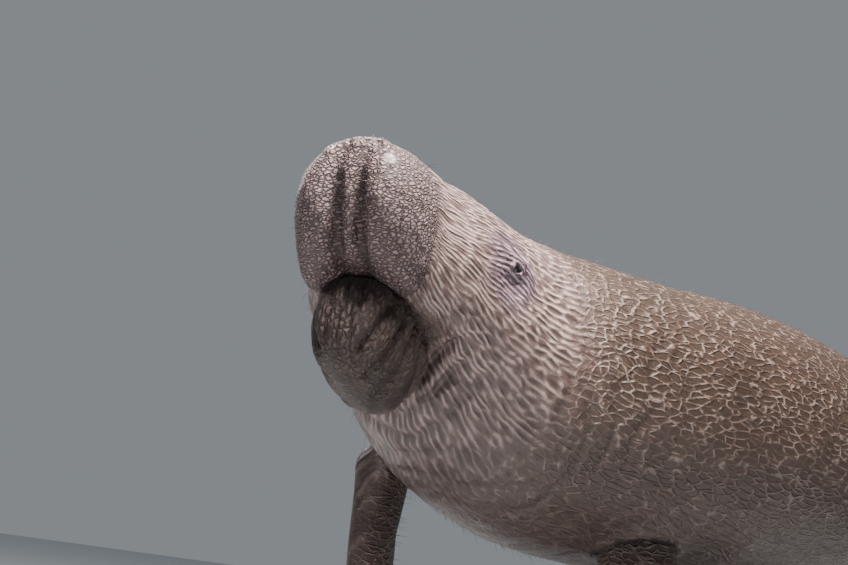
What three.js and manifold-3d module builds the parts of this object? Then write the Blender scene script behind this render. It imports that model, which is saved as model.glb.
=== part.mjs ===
import * as THREE from "three";
import { mergeVertices } from "three/addons/utils/BufferGeometryUtils.js";
import Module from "manifold-3d";

const wasm = await Module();
wasm.setup();

// A life-size West Indian manatee, an adult of about 3 m, held at rest by a flat base and two short rods.
// Sizes are in millimetres and angles in degrees. The head is towards -X and the body's left side towards -Y.
// The body is shaped straight first: s runs back from the tip of the muzzle, y towards the animal's right and
// z up from the spine line. It is then bent along the spine line into its pose.
const BODY_LENGTH = 3000;
const GAP = 0.35;

// Pose of the spine line, as nose-up pitch and as turn of the head to the animal's left.
const BODY_PITCH = 0;
const HEAD_PITCH = 13;
const MUZZLE_DROOP = 34;
const TAIL_PITCH = 9;
const HEAD_TURN = 30;
const DROOP_END = 165;
const NECK_START = 245;
const NECK_END = 640;
const TAIL_BEND_START = 1700;

// Where the spine line is held: the middle of the body, above the middle of the base.
const ANCHOR_S = 1250;
const ANCHOR_X = -120;
const ANCHOR_Z = 860;

// The body's half width, height above and depth below the spine line at stations along s.
const MUZZLE_CAP = 50;
const TAIL_CAP = 330;
const BODY_STATIONS = [
  [0, 88, 94, 84],
  [78, 96, 108, 92],
  [150, 113, 132, 126],
  [215, 144, 162, 148],
  [300, 176, 186, 172],
  [400, 206, 196, 222],
  [500, 240, 204, 276],
  [640, 288, 212, 322],
  [850, 340, 232, 338],
  [1150, 368, 274, 344],
  [1450, 362, 286, 332],
  [1750, 322, 256, 284],
  [2000, 264, 202, 214],
  [2200, 214, 146, 150],
  [2320, 206, 114, 112],
  [2440, 236, 86, 84],
  [2560, 288, 62, 62],
  [2700, 322, 42, 42],
  [2850, 328, 28, 28],
  [3000, 322, 20, 20],
];
const BODY_SQUARENESS = 2.15;

const HEAD_SIDES = 64;
const BODY_SIDES = 44;
const HEAD_END = 370;

// Eyes.
const EYE = { s: 276, angle: 8.5, radius: 12, sink: 10, lidRadius: 11.5, lidThickness: 4.2 };

// Nostrils: crescent slots on the top of the muzzle, each from the inner end to the outer end.
const NOSTRIL = { s: 24, inner: 86, outer: 66, rise: 12, radius: 4.5 };

// Where the body is parted into its nodes, from the head back.
const NODES = ["muzzle", "head", "neck", "torso", "tail_stock", "tail_paddle"];
const CUTS = [128, 345, 640, 2010, 2350];
const CUT_WIDTH = 0.3;

// Lower jaw, in the frame of the skull: x back, y right, z up from the spine line at the skull station.
const SKULL_S = 200;
const JAW = { front: -127, back: 112, z: -161, slope: -0.06, width: 67, height: 75, power: 2.4, taper: -0.2 };

// Flippers, hung from the chest: where each is rooted, how far the root is sunk, and the way it hangs.
const FLIPPER_LENGTH = 430;
const FLIPPER_SINK = 90;
const FLIPPERS = {
  left: { side: -1, s: 812, y: 168, z: -335, sweep: 4, splay: 16, twist: 22, bend: 22 },
  right: { side: 1, s: 548, y: 226, z: -240, sweep: -4, splay: 4, twist: 22, bend: 14 },
};
const FLIPPER_STATIONS = [
  [0, 104, 58],
  [0.25, 74, 40],
  [0.5, 78, 29],
  [0.75, 88, 20],
  [1, 88, 13],
];
const FLIPPER_CAP = 0.26;
const FLIPPER_ROOT = 0.18;

// Stand.
const BASE = { length: 1150, width: 700, height: 40, corner: 70, bevel: 6 };
const ROD_RADIUS = 22;
const FLANGE = { radius: 62, height: 14 };
const RODS = { front: -350, rear: 350 };

// Nails, on the outer face near each flipper's tip: place along the flipper and angle round it.
const NAIL = { long: 13, wide: 10, thick: 4.5 };
const NAIL_PLACES = [
  [0.915, -52],
  [0.945, -78],
  [0.945, -106],
];

const rad = THREE.MathUtils.degToRad;
const mix = THREE.MathUtils.lerp;
const ease = (a, b, t) => THREE.MathUtils.smoothstep(t, a, b);

// A smooth curve through rows of [place, value, value, ...]: gives one function of place for each value.
function curvesThrough(rows) {
  const at = rows.map((row) => row[0]);
  return rows[0].slice(1).map((_, column) => {
    const value = rows.map((row) => row[column + 1]);
    const step = (i) => (value[i + 1] - value[i]) / (at[i + 1] - at[i]);
    const slope = value.map((_, i) => {
      if (i === 0) return step(0);
      if (i === value.length - 1) return step(i - 1);
      return step(i - 1) * step(i) <= 0 ? 0 : (step(i - 1) + step(i)) / 2;
    });
    return (place) => {
      let i = 0;
      while (i < at.length - 2 && place > at[i + 1]) i += 1;
      const span = at[i + 1] - at[i];
      const t = Math.min(1, Math.max(0, (place - at[i]) / span));
      const u = 1 - t;
      return (
        value[i] * (1 + 2 * t) * u * u +
        slope[i] * span * t * u * u +
        value[i + 1] * t * t * (3 - 2 * t) -
        slope[i + 1] * span * t * t * u
      );
    };
  });
}

const pitchAt = (s) =>
  mix(HEAD_PITCH, BODY_PITCH, ease(NECK_START, NECK_END, s)) +
  (TAIL_PITCH - BODY_PITCH) * ease(TAIL_BEND_START, BODY_LENGTH, s) -
  MUZZLE_DROOP * (1 - ease(0, DROOP_END, s));
const turnAt = (s) => HEAD_TURN * (1 - ease(NECK_START - 60, NECK_END, s));

// The directions of the spine line at s: back along it, to the animal's right, and up.
function directionsAt(s) {
  const pitch = rad(pitchAt(s));
  const turn = rad(turnAt(s));
  const back = new THREE.Vector3(
    Math.cos(pitch) * Math.cos(turn),
    Math.cos(pitch) * Math.sin(turn),
    -Math.sin(pitch),
  );
  const right = new THREE.Vector3(-Math.sin(turn), Math.cos(turn), 0);
  return { back, right, up: back.clone().cross(right) };
}

// Points of the spine line every few millimetres, worked out from the anchor both ways.
const SPINE_STEP = 5;
const spinePoints = (() => {
  const count = Math.round(BODY_LENGTH / SPINE_STEP);
  const points = [new THREE.Vector3()];
  for (let i = 0; i < count; i += 1) {
    const back = directionsAt((i + 0.5) * SPINE_STEP).back;
    points.push(points[i].clone().addScaledVector(back, SPINE_STEP));
  }
  const shift = new THREE.Vector3(ANCHOR_X, 0, ANCHOR_Z).sub(points[Math.round(ANCHOR_S / SPINE_STEP)]);
  return points.map((p) => p.add(shift));
})();

// Carries a point of the straight body into the pose.
function posed(s, y, z) {
  const place = Math.min(Math.max(s, 0), BODY_LENGTH);
  const i = Math.min(Math.floor(place / SPINE_STEP), spinePoints.length - 2);
  const { back, right, up } = directionsAt(place);
  return spinePoints[i]
    .clone()
    .lerp(spinePoints[i + 1], place / SPINE_STEP - i)
    .addScaledVector(back, s - place)
    .addScaledVector(right, y)
    .addScaledVector(up, z);
}

const [halfWidth, heightAbove, depthBelow] = curvesThrough(BODY_STATIONS);
const capRound = (t, power) => (t >= 1 ? 1 : (1 - (1 - Math.max(t, 0)) ** power) ** (1 / power));
const endRound = (s) => capRound(s / MUZZLE_CAP, 2.5) * capRound((BODY_LENGTH - s) / TAIL_CAP, 2.2);
const power = (value, exponent) => Math.sign(value) * Math.abs(value) ** exponent;

// Pushes that shape the straight body: where, how far they reach along s, y and z, and the push there.
// The ones with both: true are repeated on the other side.
const PUSHES = [
  { at: [6, 50, -2], reach: [52, 34, 66], push: [-18, 4, 0], both: true },
  { at: [0, 17, -14], reach: [46, 10, 80], push: [12, 0, 0], both: true },
  { at: [0, 0, -100], reach: [60, 26, 34], push: [18, 0, 10] },
  { at: [62, 84, -76], reach: [60, 44, 46], push: [0, 10, -50], both: true },
  { at: [132, 112, -122], reach: [60, 44, 44], push: [0, 4, -22], both: true },
  { at: [60, 96, 0], reach: [50, 40, 64], push: [0, 5, 0], both: true },
  { at: [118, 112, 20], reach: [20, 60, 80], push: [0, -8, 0], both: true },
  { at: [175, 128, -20], reach: [44, 50, 60], push: [0, 8, 0], both: true },
  { at: [280, 165, 8], reach: [28, 36, 22], push: [0, -8, 0], both: true },
  { at: [276, 165, 44], reach: [48, 42, 22], push: [0, 9, 4], both: true },
  { at: [290, 110, -150], reach: [110, 60, 50], push: [0, -24, 14], both: true },
  { at: [262, 0, -190], reach: [34, 150, 70], push: [0, 0, 20] },
  { at: [215, 130, -84], reach: [50, 50, 34], push: [0, 5, -4], both: true },
];

function pushed(p) {
  const total = new THREE.Vector3();
  for (const { at, reach, push, both } of PUSHES) {
    for (const side of both ? [1, -1] : [1]) {
      const d = ((p.x - at[0]) / reach[0]) ** 2 + ((p.y - side * at[1]) / reach[1]) ** 2 + ((p.z - at[2]) / reach[2]) ** 2;
      if (d < 9) {
        const share = Math.exp(-d);
        total.x += push[0] * share;
        total.y += side * push[1] * share;
        total.z += push[2] * share;
      }
    }
  }
  return p.add(total);
}

// A point of the straight body's surface, at s and at an angle round the section.
function bodySurface(s, angle) {
  const round = endRound(s);
  const c = power(Math.cos(angle), 2 / BODY_SQUARENESS);
  const h = power(Math.sin(angle), 2 / BODY_SQUARENESS);
  const rise = h > 0 ? heightAbove(s) : depthBelow(s);
  return pushed(new THREE.Vector3(s, round * halfWidth(s) * c, round * rise * h));
}

// A closed mesh from rings of points: neighbouring rings may have different counts, and the two end points close it.
function closedMesh(first, rings, last) {
  const points = [first];
  const starts = rings.map((ring) => {
    const start = points.length;
    points.push(...ring);
    return start;
  });
  points.push(last);
  const triangles = [];
  rings[0].forEach((_, i) => triangles.push([0, starts[0] + ((i + 1) % rings[0].length), starts[0] + i]));
  for (let r = 0; r < rings.length - 1; r += 1) {
    const [m, n] = [rings[r].length, rings[r + 1].length];
    const a = (i) => starts[r] + (i % m);
    const b = (j) => starts[r + 1] + (j % n);
    for (let i = 0, j = 0; i < m || j < n; ) {
      if (j >= n || (i < m && (i + 1) * n <= (j + 1) * m)) {
        triangles.push([a(i), a(i + 1), b(j)]);
        i += 1;
      } else {
        triangles.push([a(i), b(j + 1), b(j)]);
        j += 1;
      }
    }
  }
  const tail = rings.length - 1;
  rings[tail].forEach((_, i) =>
    triangles.push([points.length - 1, starts[tail] + i, starts[tail] + ((i + 1) % rings[tail].length)]),
  );
  const geometry = new THREE.BufferGeometry().setFromPoints(points);
  return geometry.setIndex(triangles.flat());
}

function solidOf(geometry) {
  const plain = geometry.clone();
  plain.deleteAttribute("normal");
  plain.deleteAttribute("uv");
  const merged = mergeVertices(plain, 1e-4);
  return new wasm.Manifold(
    new wasm.Mesh({
      numProp: 3,
      vertProperties: new Float32Array(merged.attributes.position.array),
      triVerts: new Uint32Array(merged.index.array),
    }),
  );
}

function geometryOf(solid) {
  const mesh = solid.getMesh();
  return new THREE.BufferGeometry()
    .setAttribute("position", new THREE.BufferAttribute(mesh.vertProperties, 3))
    .setIndex(new THREE.BufferAttribute(mesh.triVerts, 1));
}

// Moves every point of a closed mesh outwards by a small distance.
function grown(geometry, distance) {
  const bigger = geometry.clone();
  bigger.computeVertexNormals();
  const { position, normal } = bigger.attributes;
  for (let i = 0; i < position.count; i += 1) {
    position.setXYZ(
      i,
      position.getX(i) + distance * normal.getX(i),
      position.getY(i) + distance * normal.getY(i),
      position.getZ(i) + distance * normal.getZ(i),
    );
  }
  return bigger;
}

// Stations where the body's rings are drawn: close together on the head, further apart on the trunk.
function ringStations() {
  const stations = [];
  const capRings = 12;
  for (let i = 1; i < capRings; i += 1) stations.push(MUZZLE_CAP * (1 - Math.cos((i / capRings) * (Math.PI / 2))));
  for (let s = MUZZLE_CAP; s < 260; s += 13) stations.push(s);
  for (let s = 260; s < HEAD_END; s += 20) stations.push(s);
  for (let s = HEAD_END; s < 700; s += 36) stations.push(s);
  for (let s = 720; s < BODY_LENGTH - TAIL_CAP; s += 84) stations.push(s);
  const tailRings = 8;
  for (let i = tailRings - 1; i > 0; i -= 1) {
    stations.push(BODY_LENGTH - TAIL_CAP * (1 - Math.cos((i / tailRings) * (Math.PI / 2))));
  }
  return stations;
}

function bodyGeometry() {
  const ring = (s) => {
    const sides = s < HEAD_END ? HEAD_SIDES : BODY_SIDES;
    return Array.from({ length: sides }, (_, i) => {
      const p = bodySurface(s, (i / sides) * 2 * Math.PI);
      return posed(p.x, p.y, p.z);
    });
  };
  const tip = pushed(new THREE.Vector3(0, 0, 0));
  return closedMesh(posed(tip.x, tip.y, tip.z), ringStations().map(ring), posed(BODY_LENGTH, 0, 0));
}

// A point in the rigid frame of the spine line at one station.
function inFrame(s, x, y, z) {
  const { back, right, up } = directionsAt(s);
  return posed(s, 0, 0).addScaledVector(back, x).addScaledVector(right, y).addScaledVector(up, z);
}

function jawGeometry() {
  const length = JAW.back - JAW.front;
  const sides = 32;
  const count = 16;
  const ring = (t) => {
    const x = JAW.front + length * t;
    const round = capRound(t / 0.36, JAW.power) * capRound((1 - t) / 0.5, 2);
    return Array.from({ length: sides }, (_, i) => {
      const angle = (i / sides) * 2 * Math.PI;
      const rise = power(Math.sin(angle), 2 / JAW.power);
      const width = JAW.width * mix(0.88, 1.08, t) * (1 - JAW.taper * rise) * round;
      const y = width * power(Math.cos(angle), 2 / JAW.power);
      return inFrame(SKULL_S, x, y, JAW.z + JAW.slope * (x - JAW.front) + JAW.height * round * rise);
    });
  };
  const rings = Array.from({ length: count - 1 }, (_, i) => ring((1 - Math.cos(((i + 1) / count) * Math.PI)) / 2));
  return closedMesh(
    inFrame(SKULL_S, JAW.front, 0, JAW.z),
    rings,
    inFrame(SKULL_S, JAW.back, 0, JAW.z + JAW.slope * length),
  );
}

const [flipperChord, flipperThickness] = curvesThrough(FLIPPER_STATIONS);

// A point of a flipper: t runs from its root to its tip, and it bends inwards a little towards the tip.
function flipperPoint(flipper, t, angle) {
  const { back, right, up } = directionsAt(flipper.s);
  const out = right.clone().multiplyScalar(flipper.side);
  const round = capRound((1 - t) / FLIPPER_CAP, 2.3) * capRound(0.02 + t / FLIPPER_ROOT, 2);
  const lean = rad(flipper.splay - flipper.bend * t * t);
  const sweep = rad(flipper.sweep);
  const twist = rad(flipper.twist);
  const along = out
    .clone()
    .multiplyScalar(Math.sin(lean))
    .addScaledVector(up, -Math.cos(lean) * Math.cos(sweep))
    .addScaledVector(back, -Math.sin(sweep));
  const chordWay = back.clone().multiplyScalar(Math.cos(twist)).addScaledVector(out, Math.sin(twist));
  chordWay.addScaledVector(along, -along.dot(chordWay)).normalize();
  const thickWay = along.clone().cross(chordWay).normalize().multiplyScalar(flipper.side);
  return inFrame(flipper.s, 0, flipper.side * flipper.y, flipper.z)
    .addScaledVector(along, FLIPPER_LENGTH * t - FLIPPER_SINK * (1 - t))
    .addScaledVector(chordWay, flipperChord(t) * round * Math.cos(angle))
    .addScaledVector(thickWay, flipperThickness(t) * Math.sqrt(round) * Math.sin(angle));
}

function flipperGeometry(flipper) {
  const sides = 24;
  const rootRings = [0, 0.02, 0.06, 0.11];
  const midRings = [0.18, 0.3, 0.42, 0.54, 0.66];
  const tipRings = [0, 0.26, 0.5, 0.7, 0.84, 0.94, 0.99].map((u) => 1 - FLIPPER_CAP * (1 - u));
  const rings = [...rootRings, ...midRings, ...tipRings].map((t) =>
    Array.from({ length: sides }, (_, i) => flipperPoint(flipper, t, (flipper.side * i * 2 * Math.PI) / sides)),
  );
  const centre = (t) => flipperPoint(flipper, t, 0).lerp(flipperPoint(flipper, t, Math.PI), 0.5);
  return closedMesh(centre(0), rings, centre(1));
}

// A matrix that puts a shape's z axis along a surface's outward direction, and its x axis along the first way.
function standingOn(place, firstWay, secondWay, outward) {
  const z = firstWay.clone().cross(secondWay).normalize();
  if (z.dot(outward) < 0) z.negate();
  const x = firstWay.clone().addScaledVector(z, -firstWay.dot(z)).normalize();
  return new THREE.Matrix4().makeBasis(x, z.clone().cross(x), z).setPosition(place);
}

// The matrix that stands on the body's surface at s and an angle round it, with x going back along the body.
function onBody(s, angle) {
  const at = (ds, da) => {
    const p = bodySurface(s + ds, rad(angle + da));
    return posed(p.x, p.y, p.z);
  };
  const place = at(0, 0);
  const back = at(2, 0).sub(at(-2, 0));
  const round = at(0, 1).sub(at(0, -1));
  return standingOn(place, back, round, place.clone().sub(posed(s, 0, 0)));
}

function moved(geometry, matrix) {
  return geometry.clone().applyMatrix4(matrix);
}

// A closed bar along points, thinning to nothing at both ends.
function taperedBar(points, radius) {
  const sides = 10;
  const rings = points.slice(1, -1).map((point, k) => {
    const along = points[k + 2].clone().sub(points[k]).normalize();
    const across = new THREE.Vector3(0, 0, 1).cross(along).normalize();
    const other = along.clone().cross(across);
    const size = radius * Math.sin(((k + 1) / (points.length - 1)) * Math.PI) ** 0.6;
    return Array.from({ length: sides }, (_, i) => {
      const angle = (i / sides) * 2 * Math.PI;
      return point
        .clone()
        .addScaledVector(across, size * Math.cos(angle))
        .addScaledVector(other, size * Math.sin(angle));
    });
  });
  return closedMesh(points[0], rings, points[points.length - 1]);
}

function nostrilGeometry(side) {
  const count = 9;
  const points = Array.from({ length: count }, (_, i) => {
    const t = i / (count - 1);
    const angle = mix(NOSTRIL.inner, NOSTRIL.outer, t);
    const p = bodySurface(NOSTRIL.s + NOSTRIL.rise * Math.sin(t * Math.PI), rad(side > 0 ? angle : 180 - angle));
    return posed(p.x, p.y, p.z);
  });
  return taperedBar(points, NOSTRIL.radius);
}

// The solid with its outside facing out, whichever way its triangles were wound.
function outward(solid, geometry) {
  if (solid.volume() > 0) return solid;
  const flipped = geometry.clone();
  const index = flipped.index.array.slice();
  for (let i = 0; i < index.length; i += 3) [index[i + 1], index[i + 2]] = [index[i + 2], index[i + 1]];
  return solidOf(flipped.setIndex(Array.from(index)));
}

const colours = {
  skin: 0x7d6b63,
  eye: 0x15100e,
  nail: 0xb9ab97,
  metal: 0x9a9c9e,
  base: 0x35383b,
};
const finish = {
  skin: new THREE.MeshStandardMaterial({ color: colours.skin, roughness: 0.55, metalness: 0 }),
  eye: new THREE.MeshStandardMaterial({ color: colours.eye, roughness: 0.1, metalness: 0 }),
  nail: new THREE.MeshStandardMaterial({ color: colours.nail, roughness: 0.45, metalness: 0 }),
  metal: new THREE.MeshStandardMaterial({ color: colours.metal, roughness: 0.35, metalness: 0.9 }),
  base: new THREE.MeshStandardMaterial({ color: colours.base, roughness: 0.5, metalness: 0.1 }),
};

const manatee = new THREE.Group();
manatee.name = "manatee";

function addNode(name, solid, material) {
  const mesh = new THREE.Mesh(geometryOf(solid), material);
  mesh.name = name;
  manatee.add(mesh);
}

// The largest of the separate bodies that a cut leaves.
function mainBody(solid) {
  return solid.decompose().sort((a, b) => b.volume() - a.volume())[0];
}

const bodyShape = bodyGeometry();
const fat = solidOf(grown(bodyShape, GAP));
let flesh = solidOf(bodyShape);

// Eyes, their rims and their sockets.
for (const [name, side] of [["left", -1], ["right", 1]]) {
  const stand = onBody(EYE.s, side > 0 ? EYE.angle : 180 - EYE.angle);
  const ball = (radius) =>
    solidOf(moved(new THREE.SphereGeometry(radius, 16, 10).translate(0, 0, -EYE.sink), stand));
  const lid = solidOf(moved(new THREE.TorusGeometry(EYE.lidRadius, EYE.lidThickness, 8, 18), stand));
  flesh = flesh.add(lid).subtract(ball(EYE.radius + GAP));
  addNode("eye_" + name, ball(EYE.radius), finish.eye);
  const slot = nostrilGeometry(side);
  flesh = flesh.subtract(outward(solidOf(slot), slot));
}

// The body's nodes, parted by thin cuts square to the spine line.
const slabs = CUTS.map((s) => {
  const size = 2.6 * Math.max(halfWidth(s), heightAbove(s), depthBelow(s));
  const { back, right, up } = directionsAt(s);
  const matrix = new THREE.Matrix4().makeBasis(back, right, up).setPosition(posed(s, 0, 0));
  return solidOf(moved(new THREE.BoxGeometry(CUT_WIDTH, size, size), matrix));
});
const pieces = slabs
  .reduce((solid, slab) => solid.subtract(slab), flesh)
  .decompose()
  .sort((a, b) => b.volume() - a.volume())
  .slice(0, NODES.length)
  .sort((a, b) => a.boundingBox().min[0] - b.boundingBox().min[0]);
pieces.forEach((piece, i) => addNode(NODES[i], piece, finish.skin));

addNode("lower_jaw", mainBody(solidOf(jawGeometry()).subtract(fat)), finish.skin);

// Flippers with their nails.
for (const [name, flipper] of Object.entries(FLIPPERS)) {
  let limb = mainBody(solidOf(flipperGeometry(flipper)).subtract(fat));
  NAIL_PLACES.forEach(([t, degrees], i) => {
    const at = (dt, da) => flipperPoint(flipper, t + dt, rad(degrees + da));
    const axis = at(0, 0).lerp(at(0, 180), 0.5);
    const stand = standingOn(at(0, 0), at(0.01, 0).sub(at(-0.01, 0)), at(0, 4).sub(at(0, -4)), at(0, 0).sub(axis));
    const nail = (extra) =>
      solidOf(
        moved(
          new THREE.SphereGeometry(1, 12, 6).scale(NAIL.long + extra, NAIL.wide + extra, NAIL.thick + extra),
          stand,
        ),
      );
    limb = mainBody(limb.subtract(nail(GAP)));
    addNode("nail_" + name + "_" + (i + 1), nail(0), finish.nail);
  });
  addNode("flipper_" + name, limb, finish.skin);
}

// Stand: a flat base with rounded corners, and two rods with a flange each.
const outline = new THREE.Shape();
const halfLength = BASE.length / 2 - BASE.bevel;
const halfBaseWidth = BASE.width / 2 - BASE.bevel;
const corner = BASE.corner;
outline.absarc(halfLength - corner, halfBaseWidth - corner, corner, 0, Math.PI / 2);
outline.absarc(corner - halfLength, halfBaseWidth - corner, corner, Math.PI / 2, Math.PI);
outline.absarc(corner - halfLength, corner - halfBaseWidth, corner, Math.PI, 1.5 * Math.PI);
outline.absarc(halfLength - corner, corner - halfBaseWidth, corner, 1.5 * Math.PI, 2 * Math.PI);
const plate = new THREE.ExtrudeGeometry(outline, {
  depth: BASE.height - 2 * BASE.bevel,
  bevelThickness: BASE.bevel,
  bevelSize: BASE.bevel,
  bevelSegments: 2,
  curveSegments: 6,
}).translate(0, 0, BASE.bevel);
addNode("stand_base", solidOf(plate), finish.base);

for (const [name, x] of Object.entries(RODS)) {
  const foot = BASE.height + GAP;
  const upright = (radius, height) =>
    solidOf(
      new THREE.CylinderGeometry(radius, radius, height, 24)
        .rotateX(Math.PI / 2)
        .translate(x, 0, foot + height / 2),
    );
  const rod = upright(ROD_RADIUS, ANCHOR_Z - foot).add(upright(FLANGE.radius, FLANGE.height));
  addNode("stand_rod_" + name, mainBody(rod.subtract(fat)), finish.metal);
}

export default manatee;
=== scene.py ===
import math

import bmesh
import bpy
import numpy as np
from bpy.props import FloatProperty, FloatVectorProperty, IntProperty, PointerProperty
from mathutils import Matrix, Vector
from mathutils.bvhtree import BVHTree
from mathutils.kdtree import KDTree


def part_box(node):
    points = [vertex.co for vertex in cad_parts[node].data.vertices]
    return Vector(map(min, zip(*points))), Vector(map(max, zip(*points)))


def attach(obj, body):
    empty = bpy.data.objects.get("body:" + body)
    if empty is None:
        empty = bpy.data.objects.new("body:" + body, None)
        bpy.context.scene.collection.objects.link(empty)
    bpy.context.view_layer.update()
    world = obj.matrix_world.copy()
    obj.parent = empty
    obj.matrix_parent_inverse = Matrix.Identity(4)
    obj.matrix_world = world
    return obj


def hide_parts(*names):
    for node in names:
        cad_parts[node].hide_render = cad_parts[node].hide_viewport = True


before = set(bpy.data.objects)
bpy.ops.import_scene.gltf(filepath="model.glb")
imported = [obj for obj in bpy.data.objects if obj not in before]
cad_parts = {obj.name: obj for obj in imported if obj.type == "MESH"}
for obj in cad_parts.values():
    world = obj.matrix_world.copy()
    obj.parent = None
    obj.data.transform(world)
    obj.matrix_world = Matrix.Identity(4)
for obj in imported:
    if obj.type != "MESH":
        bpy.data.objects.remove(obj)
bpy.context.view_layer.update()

bl_info = {
    "name": "Manatee display model",
    "version": (1, 0, 0),
    "blender": (4, 5, 0),
    "location": "View3D > Sidebar > Manatee",
    "description": "Builds a life-size manatee with wrinkled skin, bristles, eyes and nails on its stand",
    "category": "Object",
}

MM = 0.001

# The body's form is the source's. It is shaped straight first, with s back from the tip of the muzzle,
# y towards the animal's right and z up from the spine line, and then bent along the spine line.
# Millimetres and degrees.
BODY_LENGTH = 3000.0
BODY_PITCH = 0.0
HEAD_PITCH = 13.0
MUZZLE_DROOP = 34.0
TAIL_PITCH = 9.0
HEAD_TURN = 30.0
DROOP_END = 165.0
NECK_START = 245.0
NECK_END = 640.0
TAIL_BEND_START = 1700.0
ANCHOR_S = 1250.0
ANCHOR = (-120.0, 0.0, 860.0)
MUZZLE_CAP = 50.0
TAIL_CAP = 330.0
BODY_SQUARENESS = 2.15
BODY_STATIONS = (
    (0, 88, 94, 84),
    (78, 96, 108, 92),
    (150, 113, 132, 126),
    (215, 144, 162, 148),
    (300, 176, 186, 172),
    (400, 206, 196, 222),
    (500, 240, 204, 276),
    (640, 288, 212, 322),
    (850, 340, 232, 338),
    (1150, 368, 274, 344),
    (1450, 362, 286, 332),
    (1750, 322, 256, 284),
    (2000, 264, 202, 214),
    (2200, 214, 146, 150),
    (2320, 206, 114, 112),
    (2440, 236, 86, 84),
    (2560, 288, 62, 62),
    (2700, 322, 42, 42),
    (2850, 328, 28, 28),
    (3000, 322, 20, 20),
)
# Pushes that shape the straight body: place, reach, push, and whether it is repeated on the other side.
PUSHES = (
    ((6, 50, -2), (52, 34, 66), (-18, 4, 0), True),
    ((0, 17, -14), (46, 10, 80), (12, 0, 0), True),
    ((0, 0, -100), (60, 26, 34), (18, 0, 10), False),
    ((62, 84, -76), (60, 44, 46), (0, 10, -50), True),
    ((132, 112, -122), (60, 44, 44), (0, 4, -22), True),
    ((60, 96, 0), (50, 40, 64), (0, 5, 0), True),
    ((118, 112, 20), (20, 60, 80), (0, -8, 0), True),
    ((175, 128, -20), (44, 50, 60), (0, 8, 0), True),
    ((280, 165, 8), (28, 36, 22), (0, -8, 0), True),
    ((276, 165, 44), (48, 42, 22), (0, 9, 4), True),
    ((290, 110, -150), (110, 60, 50), (0, -24, 14), True),
    ((262, 0, -190), (34, 150, 70), (0, 0, 20), False),
    ((215, 130, -84), (50, 50, 34), (0, 5, -4), True),
)
SKULL_S = 200.0
JAW = {
    "front": -127.0,
    "back": 112.0,
    "z": -161.0,
    "slope": -0.06,
    "width": 67.0,
    "height": 75.0,
    "power": 2.4,
    "taper": -0.2,
}
FLIPPER_LENGTH = 430.0
FLIPPER_SINK = 90.0
FLIPPER_CAP = 0.26
FLIPPER_ROOT = 0.18
FLIPPERS = {
    "left": {
        "side": -1,
        "s": 812.0,
        "y": 168.0,
        "z": -335.0,
        "sweep": 4.0,
        "splay": 16.0,
        "twist": 22.0,
        "bend": 22.0,
    },
    "right": {
        "side": 1,
        "s": 548.0,
        "y": 226.0,
        "z": -240.0,
        "sweep": -4.0,
        "splay": 4.0,
        "twist": 22.0,
        "bend": 14.0,
    },
}
FLIPPER_STATIONS = ((0, 104, 58), (0.25, 74, 40), (0.5, 78, 29), (0.75, 88, 20), (1, 88, 13))
EYE_S = 276.0
EYE_ANGLE = 8.5
NOSTRIL = {"s": 24.0, "inner": 86.0, "outer": 66.0, "rise": 12.0}
FLESH = (
    "muzzle",
    "head",
    "lower_jaw",
    "neck",
    "torso",
    "tail_stock",
    "tail_paddle",
    "flipper_left",
    "flipper_right",
)
TURN_LEAD = 60.0
SPINE_STEP = 5.0
PUSH_CUT = math.exp(-9)

# How the skin's parts are joined: a seam's points lie on two surfaces within a share of the reach, in
# millimetres, over which it is smoothed. Welds and the zone of the flipper roots are in metres.
SEAM_REACH = 34.0
ROOT_REACH = 80.0
SEAM_GAP = 0.04
SMOOTHING_ROUNDS = 150
WELD = 0.0006
ROOT_WELD = 0.0035
ROOT_ZONE = {"front": 0.4, "back": 1.0, "top": -0.12}
EYE_ZONE = 0.026
EYE_CUTS = 2

# The skin's finer relief, in millimetres, with the spacing of the chin's fan in radians.
NECK_FOLDS = ((66.0, 5.0, 300, 430, 860), (25.0, 1.6, 330, 460, 1500))
DISC_EDGE = 96.0
MEDIAN_GROOVE = 17.0
CHIN = {"centre": 130.0, "spacing": 0.3, "depth": 12.0}
LIP_WRINKLES = {"spacing": 6.5, "depth": 5.0}
THROAT_FOLDS = ((0, 8.0, 8.0), (36, 5.0, 8.0), (74, 4.0, 9.0))
LID_RING = 13.0
ARC_SPACING = 8.8
ARC_BEND = 0.004
# The sinking at which the painted shade in the skin's hollows is darkest.
HOLLOW_DEPTH = 6.0

# A radius in metres that turns the angle round the head into a length, and hairs to a square metre.
HEAD_RADIUS = 0.16
BRISTLE_DENSITY = 2600.0
HAIR_DENSITY = 1100.0
MAP_PATCH = 0.003
STEEL = (0.56, 0.57, 0.58)

# The stage: name, place, target, size, watts and tint of each light, and the camera.
LIGHTS = (
    ("key", (-1.6, -1.2, 3.2), (-1.1, -0.2, 0.9), 0.6, 430, (1.0, 0.96, 0.9)),
    ("fill", (-3.2, -1.6, 0.8), (-0.9, 0, 0.8), 2.4, 8, (0.88, 0.94, 1.0)),
    ("rim", (-0.6, 2.2, 3.0), (-0.7, 0, 0.9), 2.2, 90, (1.0, 1.0, 1.0)),
)
WORLD_COLOUR = (0.74, 0.79, 0.84, 1)
WORLD_STRENGTH = 0.3
FLOOR_HALF = 14.0
SENSOR = 36.0
IMAGE_WIDTH = 848.0
FOCAL_PIXELS = 869.0
CAMERA_PLACE = (-1.902, -1.117, 0.473)
CAMERA_AZIMUTH = 51.0
CAMERA_PITCH = 18.0
CAMERA_ROLL = 9.0
CAMERA_REACH = 60.0


def ease(a, b, t):
    """A smooth step from 0 at a to 1 at b."""
    t = np.clip((np.asarray(t, float) - a) / (b - a), 0, 1)
    return t * t * (3 - 2 * t)


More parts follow.
